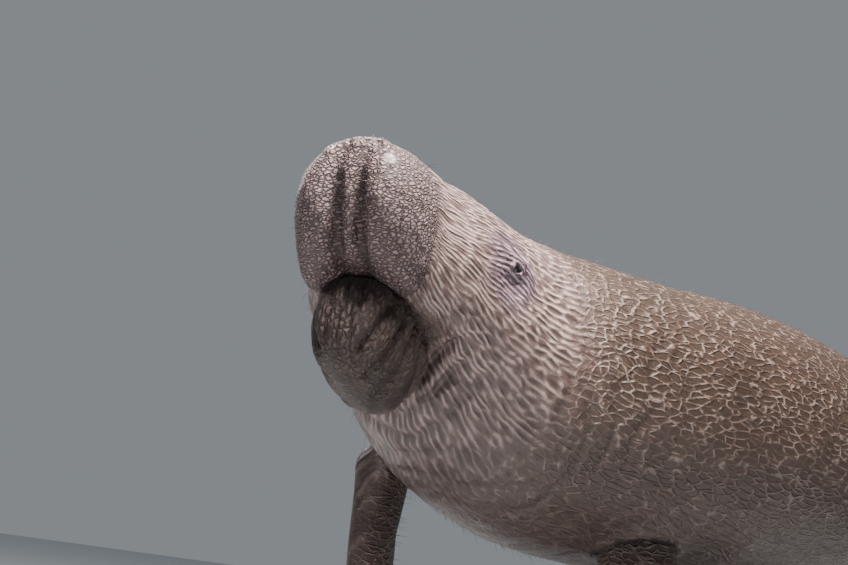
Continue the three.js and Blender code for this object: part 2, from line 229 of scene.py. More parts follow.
def curves_through(rows):
    """A smooth curve through rows of (place, value, value, ...): one function of place for each value."""
    rows = np.array(rows, float)
    at = rows[:, 0]

    def curve(value):
        step = np.diff(value) / np.diff(at)
        inner = np.where(step[:-1] * step[1:] <= 0, 0, (step[:-1] + step[1:]) / 2)
        slope = np.concatenate([step[:1], inner, step[-1:]])

        def value_at(place):
            place = np.asarray(place, float)
            i = np.clip(np.searchsorted(at, place, side="left") - 1, 0, len(at) - 2)
            span = at[i + 1] - at[i]
            t = np.clip((place - at[i]) / span, 0, 1)
            u = 1 - t
            return (
                value[i] * (1 + 2 * t) * u * u
                + slope[i] * span * t * u * u
                + value[i + 1] * t * t * (3 - 2 * t)
                - slope[i + 1] * span * t * t * u
            )

        return value_at

    return [curve(rows[:, k]) for k in range(1, rows.shape[1])]


def cap_round(t, power):
    """The rounding of a blunt end: 0 at the end, 1 from t = 1 on."""
    return (1 - (1 - np.clip(t, 0, 1)) ** power) ** (1 / power)


def signed_power(value, exponent):
    return np.sign(value) * np.abs(value) ** exponent


def directions(s):
    """The directions back, right and up of the spine line at s."""
    s = np.asarray(s, float)
    bend = ease(NECK_START, NECK_END, s)
    pitch = HEAD_PITCH * (1 - bend) + BODY_PITCH * bend
    pitch = pitch + (TAIL_PITCH - BODY_PITCH) * ease(TAIL_BEND_START, BODY_LENGTH, s)
    pitch = np.radians(pitch - MUZZLE_DROOP * (1 - ease(0, DROOP_END, s)))
    turn = np.radians(HEAD_TURN * (1 - ease(NECK_START - TURN_LEAD, NECK_END, s)))
    back = np.stack([np.cos(pitch) * np.cos(turn), np.cos(pitch) * np.sin(turn), -np.sin(pitch)], -1)
    right = np.stack([-np.sin(turn), np.cos(turn), np.zeros_like(turn)], -1)
    return back, right, np.cross(back, right)


def spine_line():
    """Places along the spine in the frame, a step apart, with the anchor's station at the anchor."""
    count = int(round(BODY_LENGTH / SPINE_STEP))
    back = directions((np.arange(count) + 0.5) * SPINE_STEP)[0]
    line = np.vstack([np.zeros(3), np.cumsum(back * SPINE_STEP, axis=0)])
    return line + np.array(ANCHOR) - line[int(round(ANCHOR_S / SPINE_STEP))]


SPINE = spine_line()


def posed(s, y, z):
    """Carries points of the straight body into the pose."""
    s, y, z = np.broadcast_arrays(np.asarray(s, float), y, z)
    place = np.clip(s, 0, BODY_LENGTH)
    i = np.minimum((place / SPINE_STEP).astype(int), len(SPINE) - 2)
    t = (place / SPINE_STEP - i)[..., None]
    back, right, up = directions(place)
    line = SPINE[i] * (1 - t) + SPINE[i + 1] * t
    return line + back * (s - place)[..., None] + right * y[..., None] + up * z[..., None]


def in_frame(s, x, y, z):
    """Points in the rigid frame of the spine line at one station."""
    back, right, up = directions(s)
    x, y, z = np.broadcast_arrays(np.asarray(x, float), y, z)
    return posed(s, 0.0, 0.0) + x[..., None] * back + y[..., None] * right + z[..., None] * up


def laid_straight(places, s):
    """Straight places of points near one station, as if the body were rigid there."""
    back, right, up = directions(s)
    away = places - posed(s, 0.0, 0.0)
    return np.stack([away @ back + s, away @ right, away @ up], -1)


HALF_WIDTH, HEIGHT_ABOVE, DEPTH_BELOW = curves_through(BODY_STATIONS)
FLIPPER_CHORD, FLIPPER_THICKNESS = curves_through(FLIPPER_STATIONS)


def pushed(points):
    """Straight places moved by all the pushes."""
    total = np.zeros_like(points)
    for at, reach, push, both in PUSHES:
        for side in (1, -1) if both else (1,):
            mirror = np.array([1, side, 1])
            share = np.exp(-(((points - np.array(at) * mirror) / np.array(reach)) ** 2).sum(-1))
            share = np.where(share < PUSH_CUT, 0, share)
            total += share[..., None] * np.array(push) * mirror
    return points + total


def body_surface(s, angle):
    """Straight places on the body's surface, at s and at an angle round the section in radians."""
    s, angle = np.broadcast_arrays(np.asarray(s, float), np.asarray(angle, float))
    end = cap_round(s / MUZZLE_CAP, 2.5) * cap_round((BODY_LENGTH - s) / TAIL_CAP, 2.2)
    across = signed_power(np.cos(angle), 2 / BODY_SQUARENESS)
    rise = signed_power(np.sin(angle), 2 / BODY_SQUARENESS)
    tall = np.where(rise > 0, HEIGHT_ABOVE(s), DEPTH_BELOW(s))
    return pushed(np.stack([s, end * HALF_WIDTH(s) * across, end * tall * rise], -1))


def jaw_surface(t, angle):
    """Places on the lower jaw, t from its front to its back."""
    t, angle = np.broadcast_arrays(np.asarray(t, float), np.asarray(angle, float))
    length = JAW["back"] - JAW["front"]
    x = JAW["front"] + length * t
    end = cap_round(t / 0.36, JAW["power"]) * cap_round((1 - t) / 0.5, 2)
    rise = signed_power(np.sin(angle), 2 / JAW["power"])
    width = JAW["width"] * (0.88 + 0.2 * t) * (1 - JAW["taper"] * rise) * end
    y = width * signed_power(np.cos(angle), 2 / JAW["power"])
    z = JAW["z"] + JAW["slope"] * (x - JAW["front"]) + JAW["height"] * end * rise
    return x, y, z


def flipper_surface(flipper, t, angle):
    """Places on a flipper, t from its root to its tip."""
    t, angle = np.broadcast_arrays(np.asarray(t, float), np.asarray(angle, float))
    back, right, up = directions(flipper["s"])
    out = right * flipper["side"]
    end = cap_round((1 - t) / FLIPPER_CAP, 2.3) * cap_round(0.02 + t / FLIPPER_ROOT, 2)
    lean = np.radians(flipper["splay"] - flipper["bend"] * t * t)[..., None]
    sweep, twist = math.radians(flipper["sweep"]), math.radians(flipper["twist"])
    along = out * np.sin(lean) - up * np.cos(lean) * math.cos(sweep) - back * math.sin(sweep)
    chord = back * math.cos(twist) + out * math.sin(twist)
    chord = chord - along * (along * chord).sum(-1, keepdims=True)
    chord = chord / np.linalg.norm(chord, axis=-1, keepdims=True)
    thick = np.cross(along, chord)
    thick = thick / np.linalg.norm(thick, axis=-1, keepdims=True) * flipper["side"]
    root = in_frame(flipper["s"], 0.0, flipper["side"] * flipper["y"], flipper["z"])
    return (
        root
        + along * (FLIPPER_LENGTH * t - FLIPPER_SINK * (1 - t))[..., None]
        + chord * (FLIPPER_CHORD(t) * end * np.cos(angle))[..., None]
        + thick * (FLIPPER_THICKNESS(t) * np.sqrt(end) * np.sin(angle))[..., None]
    )


class Noise:
    """Smooth random values in space, the same on each run."""

    def __init__(self, seed, size=32):
        self.size = size
        self.table = np.random.RandomState(seed).uniform(-1, 1, (size, size, size))

    def __call__(self, points, scale):
        p = np.asarray(points, float) / scale
        base = np.floor(p).astype(int)
        t = p - base
        t = t * t * (3 - 2 * t)
        total = 0
        for dx in (0, 1):
            for dy in (0, 1):
                for dz in (0, 1):
                    corner = (base + (dx, dy, dz)) % self.size
                    weight = (
                        (t[..., 0] if dx else 1 - t[..., 0])
                        * (t[..., 1] if dy else 1 - t[..., 1])
                        * (t[..., 2] if dz else 1 - t[..., 2])
                    )
                    total = total + weight * self.table[corner[..., 0], corner[..., 1], corner[..., 2]]
        return total


def grid_object(name, places, lie, first, last, atlas):
    """A closed mesh from rings of places, with the lie of the skin and a map of its own."""
    rings, sides = places.shape[:2]
    points = np.vstack([first[0][None], places.reshape(-1, 3), last[0][None]]) * MM
    lies = np.vstack([first[1][None], lie.reshape(-1, 3), last[1][None]]) * MM
    index = 1 + np.arange(rings * sides).reshape(rings, sides)
    after = np.roll(index, -1, axis=1)
    quads = np.stack([index[:-1], after[:-1], after[1:], index[1:]], -1).reshape(-1, 4)
    tip = np.stack([np.zeros(sides, int), after[0], index[0]], -1)
    tail = np.stack([np.full(sides, len(points) - 1), index[-1], after[-1]], -1)
    mesh = bpy.data.meshes.new(name)
    mesh.from_pydata(points, [], [*tip.tolist(), *quads.tolist(), *tail.tolist()])
    attribute = mesh.attributes.new("lie", "FLOAT_VECTOR", "POINT")
    attribute.data.foreach_set("vector", lies.astype(np.float32).ravel())
    left, bottom, width, height = atlas
    length = np.linalg.norm(np.diff(places, axis=0), axis=-1).mean(1)
    run = np.concatenate([[0.02], 0.02 + 0.96 * np.cumsum(length) / length.sum()])
    around = np.arange(sides + 1) / sides
    tip_uv = np.stack(
        [
            np.stack([around[:-1] + 0.5 / sides, np.zeros(sides)], -1),
            np.stack([around[1:], np.full(sides, run[0])], -1),
            np.stack([around[:-1], np.full(sides, run[0])], -1),
        ],
        1,
    )
    u0, v0 = np.meshgrid(around[:-1], run[:-1])
    u1, v1 = np.meshgrid(around[1:], run[1:])
    quad_uv = np.stack([u0, v0, u1, v0, u1, v1, u0, v1], -1).reshape(-1, 4, 2)
    tail_uv = np.stack(
        [
            np.stack([around[:-1] + 0.5 / sides, np.ones(sides)], -1),
            np.stack([around[:-1], np.full(sides, run[-1])], -1),
            np.stack([around[1:], np.full(sides, run[-1])], -1),
        ],
        1,
    )
    uv = np.vstack([tip_uv.reshape(-1, 2), quad_uv.reshape(-1, 2), tail_uv.reshape(-1, 2)])
    uv = uv * (width, height) + (left, bottom)
    layer = mesh.uv_layers.new(name="OFBake")
    layer.data.foreach_set("uv", uv.astype(np.float32).ravel())
    mesh.update()
    thing = bpy.data.objects.new(name, mesh)
    bpy.context.scene.collection.objects.link(thing)
    return thing


def body_object():
    quick = 1.0
    sides = int(224 / quick)
    cap = MUZZLE_CAP * (1 - np.cos(np.linspace(0, math.pi / 2, int(34 / quick))))[1:]
    head = np.arange(MUZZLE_CAP + 3, 400, 3.5 * quick)
    neck = np.arange(400, 780, 5.5 * quick)
    trunk = np.arange(780, 1300, 11.0 * quick)
    rear = np.arange(1300, BODY_LENGTH - TAIL_CAP, 20.0 * quick)
    end = BODY_LENGTH - TAIL_CAP + TAIL_CAP * np.sin(np.linspace(0, math.pi / 2, int(28 / quick)))[:-1]
    s = np.concatenate([cap, head, neck, trunk, rear, end])
    angle = np.arange(sides) / sides * 2 * math.pi
    straight = body_surface(s[:, None], angle[None, :])
    tip = pushed(np.array([[0.0, 0.0, 0.0]]))[0]
    rump = np.array([BODY_LENGTH, 0.0, 0.0])
    return grid_object(
        "skin",
        posed(*np.moveaxis(straight, -1, 0)),
        straight,
        (posed(*tip), tip),
        (posed(*rump), rump),
        (0.0, 0.0, 0.72, 1.0),
    )


def jaw_object():
    quick = 1
    t = (1 - np.cos(np.linspace(0, math.pi, 66 // quick)[1:-1])) / 2
    angle = np.arange(96 // quick) / (96 // quick) * 2 * math.pi
    x, y, z = jaw_surface(t[:, None], angle[None, :])
    places = in_frame(SKULL_S, x, y, z)
    lie = np.stack([x + SKULL_S, y, z], -1)
    ends = []
    for t_end in (0.0, 1.0):
        x, y, z = jaw_surface(t_end, 0.0)
        ends.append((in_frame(SKULL_S, x, y, z), np.array([x + SKULL_S, y, z])))
    return grid_object("jaw", places, lie, *ends, (0.74, 0.62, 0.25, 0.37))


def flipper_object(name, flipper, bottom):
    quick = 1
    sides = 80 // quick
    root = np.linspace(0, FLIPPER_ROOT, 10 // quick + 1)[:-1]
    middle = np.linspace(FLIPPER_ROOT, 1 - FLIPPER_CAP, 34 // quick)
    tip = 1 - FLIPPER_CAP * (1 - np.sin(np.linspace(0, math.pi / 2, 18 // quick)))[1:-1]
    t = np.concatenate([root, middle, tip])
    angle = flipper["side"] * np.arange(sides) / sides * 2 * math.pi
    places = flipper_surface(flipper, t[:, None], angle[None, :])
    ends = []
    for t_end in (0.0, 1.0):
        pair = flipper_surface(flipper, np.array([t_end, t_end]), np.array([0.0, math.pi]))
        ends.append((pair.mean(0), laid_straight(pair.mean(0), flipper["s"])))
    lie = laid_straight(places, flipper["s"])
    return grid_object("flipper_" + name, places, lie, *ends, (0.74, bottom, 0.25, 0.29))


def numbers(items, name, columns, kind=np.float32):
    """One row of numbers for each of a mesh's items."""
    out = np.empty(len(items) * columns, kind)
    items.foreach_get(name, out)
    return out.reshape(-1, columns)


def points_of(mesh):
    return numbers(mesh.vertices, "co", 3).astype(float)


def lies_of(mesh):
    return numbers(mesh.attributes["lie"].data, "vector", 3).astype(float)


def values_of(mesh, name):
    return numbers(mesh.attributes[name].data, "value", 1)[:, 0].astype(float)


def put_values(mesh, name, values):
    mesh.attributes.new(name, "FLOAT", "POINT").data.foreach_set("value", values.astype(np.float32))


def normals_of(mesh):
    return numbers(mesh.vertex_normals, "vector", 3).astype(float)


def edges_of(mesh):
    return numbers(mesh.edges, "vertices", 2, np.int32)


def put_points(mesh, points):
    mesh.vertices.foreach_set("co", points.astype(np.float32).ravel())
    mesh.update()


def plain_mesh(thing):
    """The object's mesh with its modifiers applied; the modifiers are removed."""
    graph = bpy.context.evaluated_depsgraph_get()
    mesh = bpy.data.meshes.new_from_object(thing.evaluated_get(graph), depsgraph=graph)
    thing.modifiers.clear()
    old = thing.data
    thing.data = mesh
    bpy.data.meshes.remove(old)
    return mesh


def smoothed(points, edges, weight, rounds):
    """Points drawn towards their neighbours, by a weight for each."""
    moving = weight > 0.01
    used = edges[moving[edges].any(1)]
    count = np.bincount(used.ravel(), minlength=len(points)).clip(1)[:, None]
    points = points.copy()
    for _ in range(rounds):
        total = np.zeros_like(points)
        for axis in range(3):
            total[:, axis] = np.bincount(
                used.ravel(), points[used[:, ::-1].ravel(), axis], minlength=len(points)
            )
        step = total / count - points
        points[moving] += (weight[:, None] * step)[moving]
    return points


def seam_weights(points, surfaces, reach):
    """How near each point is to where two of the joined surfaces meet: 1 there, 0 beyond its reach."""
    near = []
    for i, p in enumerate(points):
        if sum(tree.find_nearest(p, SEAM_GAP * reach[i])[0] is not None for tree in surfaces) > 1:
            near.append(i)
    weight = np.zeros(len(points))
    if not near:
        return weight
    tree = KDTree(len(near))
    for k, i in enumerate(near):
        tree.insert(points[i], k)
    tree.balance()
    low = points[near].min(0) - reach.max()
    high = points[near].max(0) + reach.max()
    for i in np.nonzero(((points > low) & (points < high)).all(1))[0]:
        distance = tree.find(points[i])[2]
        if distance < reach[i]:
            weight[i] = (1 - distance / reach[i]) ** 2
    return weight


class Link:
    """A socket or number in a shader's sums."""

    def __init__(self, shader, socket):
        self.shader = shader
        self.socket = socket

    def maths(self, operation, *terms):
        return self.shader.node("ShaderNodeMath", {"operation": operation}, dict(enumerate(terms)))[0]

    def __add__(self, other):
        return self.maths("ADD", self, other)

    __radd__ = __add__

    def __sub__(self, other):
        return self.maths("SUBTRACT", self, other)

    def __rsub__(self, other):
        return self.maths("SUBTRACT", other, self)

    def __mul__(self, other):
        return self.maths("MULTIPLY", self, other)

    __rmul__ = __mul__

    def function(self, operation):
        """A function of one number, such as SINE or ABSOLUTE."""
        return self.maths(operation, self)

    def angle_to(self, other):
        """The angle whose tangent is this number over the other."""
        return self.maths("ARCTAN2", self, other)

    def clamped(self):
        """Held between 0 and 1."""
        return self.maths("MINIMUM", self.maths("MAXIMUM", self, 0.0), 1.0)

    def ramped(self, low, high):
        """0 up to low, 1 from high on, and smooth between."""
        return self.shader.node(
            "ShaderNodeMapRange",
            {"interpolation_type": "SMOOTHSTEP"},
            {"Value": self, "From Min": low, "From Max": high},
        )[0]


class Outputs:
    """A node's outputs, by name or number."""

    def __init__(self, shader, node):
        self.shader = shader
        self.raw = node

    def __getitem__(self, key):
        if isinstance(key, int):
            live = [s for s in self.raw.outputs if s.enabled]
            return Link(self.shader, live[key])
        return Link(self.shader, self.raw.outputs[key])


class Shader:
    """A material's nodes, made by one method."""

    def __init__(self, name):
        self.material = bpy.data.materials.new(name)
        self.material.use_nodes = True
        self.tree = self.material.node_tree
        self.tree.nodes.clear()

    def node(self, kind, settings=None, inputs=None):
        node = self.tree.nodes.new(kind)
        for key, value in (settings or {}).items():
            setattr(node, key, value)
        for key, value in (inputs or {}).items():
            if isinstance(key, int):
                socket = [s for s in node.inputs if s.enabled][key]
            else:
                socket = next(s for s in node.inputs if s.enabled and s.name == key)
            if isinstance(value, Link):
                self.tree.links.new(value.socket, socket)
            elif isinstance(value, (tuple, list)) and socket.type == "RGBA" and len(value) == 3:
                socket.default_value = (*value, 1)
            else:
                socket.default_value = value
        return Outputs(self, node)

    def mix(self, factor, first, second):
        colours = {"Factor": factor, "A": first, "B": second}
        return self.node("ShaderNodeMix", {"data_type": "RGBA"}, colours)[0]

    def noise(self, place, scale, detail, output="Fac"):
        inputs = {"Vector": place, "Scale": scale, "Detail": detail}
        return self.node("ShaderNodeTexNoise", None, inputs)[output]

    def split(self, vector):
        return self.node("ShaderNodeSeparateXYZ", None, {"Vector": vector})

    def joined(self, x, y, z):
        return self.node("ShaderNodeCombineXYZ", None, {"X": x, "Y": y, "Z": z})[0]

    def vectors(self, operation, *terms):
        return self.node("ShaderNodeVectorMath", {"operation": operation}, dict(enumerate(terms)))

    def finish(self, settings, links):
        surface = self.node("ShaderNodeBsdfPrincipled", None, {**settings, **links})
        self.node("ShaderNodeOutputMaterial", None, {"Surface": surface["BSDF"]})
        return self.material


def colour_property(name, description, default):
    return FloatVectorProperty(
        name=name, description=description, subtype="COLOR", size=3, min=0, max=1, default=default
    )


def size_property(name, description, default, high):
    return FloatProperty(
        name=name, description=description, default=default, min=0, max=high, unit="LENGTH"
    )


class ManateeSizes(bpy.types.PropertyGroup):
    pebble_size: size_property("Pebble size", "Width of one pebble of the muzzle's skin", 0.0076, 0.03)
    ridge_spacing: size_property("Ridge spacing", "Space between the fine ridges of the cheeks", 0.009, 0.03)
    wrinkle_spacing: size_property(
        "Wrinkle spacing", "Space between the wrinkles of the flanks", 0.0115, 0.05
    )
    wrinkle_depth: size_property("Wrinkle depth", "Depth of the fine wrinkles of the skin", 0.0026, 0.01)
    eye_radius: size_property("Eye radius", "Radius of the eyeball", 0.012, 0.03)
    bristle_length: size_property("Bristle length", "Length of the stiff hairs of the muzzle", 0.0065, 0.05)
    bristle_radius: size_property("Bristle radius", "Radius of a bristle at its root", 0.0003, 0.003)
    hair_length: size_property("Hair length", "Length of the sparse hairs of the body", 0.02, 0.1)
    hair_radius: size_property("Hair radius", "Radius of a body hair at its root", 0.0003, 0.003)
    seed: IntProperty(name="Seed", description="Seed of the places of hairs", default=7, min=0)


class ManateeColours(bpy.types.PropertyGroup):
    skin: colour_property("Skin", "Grey-brown of the skin", (0.072, 0.045, 0.035))
    # Ridge: partly the skin's paler wrinkle tops, partly painted highlight on them.
    ridge: colour_property("Ridge", "Pale tops of the wrinkles", (0.44, 0.345, 0.33))
    # Crease is painted shade, not a colour of the skin: it darkens the wrinkle gaps, the hollows, the
    # underside and the jaw.
    crease: colour_property("Crease", "Dark floor of the wrinkles", (0.022, 0.014, 0.012))
    algae: colour_property("Algae", "Thin brown film on the back", (0.05, 0.031, 0.022))
    muzzle: colour_property("Muzzle", "Mauve tint of the muzzle", (0.15, 0.105, 0.108))
    orbit: colour_property("Eye patch", "Dark purple skin round the eyes", (0.075, 0.05, 0.085))
    hair: colour_property("Hair", "Bristles and hairs", (0.05, 0.036, 0.03))
    eye: colour_property("Eye", "Eyeball", (0.012, 0.009, 0.008))
    nail: colour_property("Nail", "Horn of the nails", (0.42, 0.35, 0.27))
    base: colour_property("Base", "Paint of the stand's base", (0.035, 0.038, 0.042))
    floor: colour_property("Floor", "Plain floor and backdrop", (0.62, 0.64, 0.66))


def drawn_out(shader, lie, along, across):
    """The skin's straight places with their run along the body and their height scaled."""
    parts = shader.split(lie)
    return shader.joined(parts["X"] * along, parts["Y"], parts["Z"] * across)


def cells(shader, vector, scale, width):
    """Cells with narrow gaps: 1 on their tops, falling to 0 in the gaps over a share of their width."""
    inputs = {"Vector": vector, "Scale": scale}
    gaps = shader.node("ShaderNodeTexVoronoi", {"feature": "DISTANCE_TO_EDGE"}, inputs)["Distance"]
    return gaps.ramped(0.0, width)


def skin_material(sizes, colours):
    """Pebbles on the muzzle, ridges on the cheeks, arcs round the eyes and a net of wrinkles on the body,
    with painted shade in gaps, hollows, underside and jaw, and partly painted highlight on ridge tops.
    """
    shader = Shader("manatee skin")
    lie = shader.node("ShaderNodeAttribute", {"attribute_name": "lie"})["Vector"]
    place = shader.node("ShaderNodeTexCoord")["Object"]
    parts = shader.split(lie)
    s, side, up = parts["X"], parts["Y"].function("ABSOLUTE"), parts["Z"]
    broad = shader.noise(place, 3.2, 4.0)
    patch = shader.noise(place, 22.0, 3.0)
    grain = shader.noise(place, 700.0, 2.0)
    wander = shader.vectors("SUBTRACT", shader.noise(place, 9.0, 2.5, "Color"), (0.5, 0.5, 0.5))[0]
    bent = shader.vectors("MULTIPLY_ADD", wander, (0.034, 0.034, 0.034), lie)[0]
    shaken = shader.noise(place, 110.0, 1.0, "Color")
    crumpled = shader.vectors("MULTIPLY_ADD", shaken, (0.006, 0.006, 0.006), lie)[0]
    eye = tuple(abs(v) * MM for v in body_surface(EYE_S, math.radians(EYE_ANGLE)))
    from_eye = shader.vectors("DISTANCE", shader.joined(s, side, up), eye)["Value"]
    muzzle = 1 - (s + 0.02 * (patch - 0.5)).ramped(0.082, 0.108)
    jaw = (1 - up.ramped(-0.128, -0.1)) * (1 - s.ramped(0.2, 0.3))
    face = (muzzle + jaw).clamped()
    cheek = (1 - face) * (1 - (s + 0.12 * (broad - 0.5)).ramped(0.42, 0.6))
    orbit = 1 - (from_eye + 0.04 * (patch - 0.5)).ramped(0.045, 0.085)
    warped = shader.split(bent)
    around = warped["Y"].angle_to(warped["Z"]).function("ABSOLUTE") * HEAD_RADIUS
    wave = (around * (2 * math.pi / sizes.ridge_spacing) + 5.0 * patch).function("SINE") * 0.5 + 0.5
    flat = shader.joined(warped["X"] * 0.28, around, 0.0)
    ridges = (1 - cells(shader, flat, 0.85 / sizes.ridge_spacing, 0.35)) * 0.62 + wave * 0.38
    broken = shader.noise(lie, 75.0, 1.0)
    net = 1 - cells(shader, drawn_out(shader, bent, 0.32, 1.0), 1.0 / sizes.wrinkle_spacing, 0.2)
    net = net * (0.45 + 0.55 * broken.ramped(0.35, 0.62))
    pebbled = drawn_out(shader, crumpled, 1.0, 1.6 - 1.25 * jaw)
    pebbles = cells(shader, pebbled, 1.0 / sizes.pebble_size, 0.32)
    arch = up + (s - EYE_S * MM) * (s - EYE_S * MM) * (ARC_BEND / MM)
    arcs = (arch * (2 * math.pi / (ARC_SPACING * MM)) + 8.0 * patch).function("SINE") * 0.45 + 0.5
    height = ridges * cheek + pebbles * face + net * (1 - cheek - face).clamped()
    height = height * (1 - orbit * 0.7) + arcs * orbit * 0.7
    fine = cells(shader, crumpled, 2.1 / sizes.pebble_size, 0.5)
    height = height * 0.85 + fine * 0.15
    tops = height.ramped(0.5, 0.9)
    gaps = 1 - height.ramped(0.05, 0.55)
    # The jaw takes half as much mauve, as part of its painted shade.
    mauve = (muzzle + cheek * 0.45) * (1 - 0.5 * jaw)
    base = shader.mix(mauve, tuple(colours.skin), tuple(colours.muzzle))
    film = (0.5 + 0.5 * broad.ramped(0.3, 0.7)) * up.ramped(-0.3, 0.1) * s.ramped(0.36, 0.62)
    base = shader.mix(film, base, tuple(colours.algae))
    # Pale tops of ridges and pebbles, with a pale strip along the middle of the jaw's underside: partly
    # paler skin, partly painted highlight. The jaw gets less of it, as part of its painted shade.
    strip = jaw * (1 - side.ramped(0.02, 0.045)) * (1 - up.ramped(-0.14, -0.1))
    pale = (0.1 + 1.0 * patch) * (0.52 + 0.42 * cheek - 0.36 * muzzle) * (1 - 0.75 * jaw) + strip * 0.35
    base = shader.mix(orbit * 0.6, base, tuple(colours.orbit))
    base = shader.mix(tops * pale, base, tuple(colours.ridge))
    # Painted shade: the gaps between pebbles, ridges and wrinkles are darkened towards the crease colour,
    # most on the face.
    base = shader.mix(gaps * (0.42 + 0.22 * cheek + 0.38 * face), base, tuple(colours.crease))
    # Painted shade: the underside is darkened towards the crease colour, and the jaw more so.
    under = (1 - up.ramped(-0.3, 0.06)) * (0.4 + 0.32 * up.ramped(-0.42, -0.3))
    base = shader.mix(under + jaw * 0.25, base, tuple(colours.crease))
    # Painted shade in the relief's hollows, darker the deeper they are sunk.
    hollow_shade = shader.node("ShaderNodeAttribute", {"attribute_name": "hollow"})["Fac"]
    base = shader.mix(hollow_shade * 0.6, base, tuple(colours.crease))
    rough = 0.42 + 0.2 * broad + 0.2 * face
    relief = {"Strength": 1.0, "Distance": sizes.wrinkle_depth, "Height": height + grain * 0.05}
    bump = shader.node("ShaderNodeBump", None, relief)["Normal"]
    return shader.finish(
        {"IOR": 1.45, "Specular IOR Level": 0.4, "Coat Weight": 0.14, "Coat Roughness": 0.3},
        {"Base Color": base, "Roughness": rough, "Normal": bump},
    )


def plain_material(name, colour, roughness, metallic=0.0, coat=0.0, grain=0.0, scale=60.0):
    shader = Shader(name)
    settings = {"Metallic": metallic, "Coat Weight": coat, "Coat Roughness": 0.06}
    links = {}
    if grain:
        fac = shader.noise(shader.node("ShaderNodeTexCoord")["Object"], scale, 4.0)
        darker = tuple(c * 0.72 for c in colour)
        links["Base Color"] = shader.mix(fac.ramped(0.35, 0.65) * grain, tuple(colour), darker)
        links["Roughness"] = roughness + (fac - 0.5) * (0.3 * grain)
    else:
        settings["Base Color"] = (*colour, 1)
        settings["Roughness"] = roughness
    return shader.finish(settings, links)


def eye_places():
    """The centre of each eyeball and the way it looks, from the body's surface."""
    found = {}
    for name, side in (("left", -1), ("right", 1)):
        middle = math.radians(EYE_ANGLE if side > 0 else 180 - EYE_ANGLE)
        step = np.radians([0, 1, -1])

        def at(ds, da):
            return posed(*body_surface(EYE_S + ds, middle + da))

        back = at(2, 0) - at(-2, 0)
        around = at(0, step[1]) - at(0, step[2])
        out = np.cross(back, around)
        out = out / np.linalg.norm(out)
        if out @ (at(0, 0) - posed(EYE_S, 0.0, 0.0)) < 0:
            out = -out
        found[name] = (at(0, 0), out, back / np.linalg.norm(back))
    return found


def subdivided_near(mesh, centres, reach, cuts):
    """Splits the mesh's edges near the centres, so that small forms can be shaped there."""
    work = bmesh.new()
    work.from_mesh(mesh)
    chosen = [
        e
        for e in work.edges
        if any(((e.verts[0].co + e.verts[1].co) / 2 - Vector(c)).length < reach for c in centres)
    ]
    bmesh.ops.subdivide_edges(work, edges=chosen, cuts=cuts, use_grid_fill=True)
    bmesh.ops.triangulate(work, faces=[f for f in work.faces if len(f.verts) > 4])
    work.to_mesh(mesh)
    work.free()


def fold(distance, width):
    """A crease: 1 on its line, falling off to both sides."""
    return np.exp(-((distance / width) ** 2))


def ring_folds(mm, s):
    """The ring folds of the neck and trunk, of two sizes."""
    sway, waver, strength_noise = Noise(3), Noise(5), Noise(11)
    out = np.zeros(len(mm))
    for spacing, depth, start, end, stop in NECK_FOLDS:
        phase = s / spacing + 1.3 * sway(mm, 170.0) + 0.4 * waver(mm, 60.0)
        crease = 1 - np.abs(np.sin(math.pi * phase)) ** 0.45
        strength = ease(start, end, s) * (1 - ease(stop - 300, stop + 300, s))
        out -= strength * np.clip(0.6 + 0.9 * strength_noise(mm, 120.0), 0.05, 1) * depth * crease
    return out


def eye_relief(mm):
    """Lids that close over each eyeball but for a small almond, with ridges in arcs round them."""
    out = np.zeros(len(mm))
    waver = Noise(8)
    for place, outwards, back in eye_places().values():
        away = mm - place
        along = away @ outwards
        flat = away - along[:, None] * outwards
        over = np.cross(outwards, back)
        x, y = flat @ back, flat @ (over * np.sign(over[2]))
        r = np.hypot(x, y)
        almond = np.hypot(x / 8.0, y / 4.6)
        lid = 5.0 * (1 - ease(10.0, 24.0, r)) - 9.0 * (1 - ease(0.75, 1.15, almond))
        fold_line = -2.0 * fold(np.hypot(x / 1.25, y) - LID_RING, 2.0)
        arcs = 1.3 * np.cos(2 * math.pi * (y + ARC_BEND * x * x) / ARC_SPACING + 1.5 * waver(mm, 20.0))
        arcs *= ease(16, 22, r) * (1 - ease(44, 66, r))
        out += np.where((np.abs(along) < 60) & (r < 90), lid + fold_line + arcs, 0)
    return out


def nostril_relief(mm):
    """Closed crescents on the top of the muzzle, each in a low mound."""
    out = np.zeros(len(mm))
    for direction in (-1, 1):
        t = np.linspace(0, 1, 24)
        angle = np.radians(NOSTRIL["inner"] + (NOSTRIL["outer"] - NOSTRIL["inner"]) * t)
        angle = angle if direction > 0 else math.pi - angle
        place = NOSTRIL["s"] + NOSTRIL["rise"] * np.sin(t * math.pi)
        line = posed(*np.moveaxis(body_surface(place, angle), -1, 0))
        close = np.linalg.norm(mm - line.mean(0), axis=1) < 80
        gap = np.full(len(mm), 1e3)
        gap[close] = np.linalg.norm(mm[close][:, None] - line[None], axis=2).min(1)
        out += -6.5 * fold(gap, 3.2) + 3.0 * fold(gap - 9, 5.0)
    return out


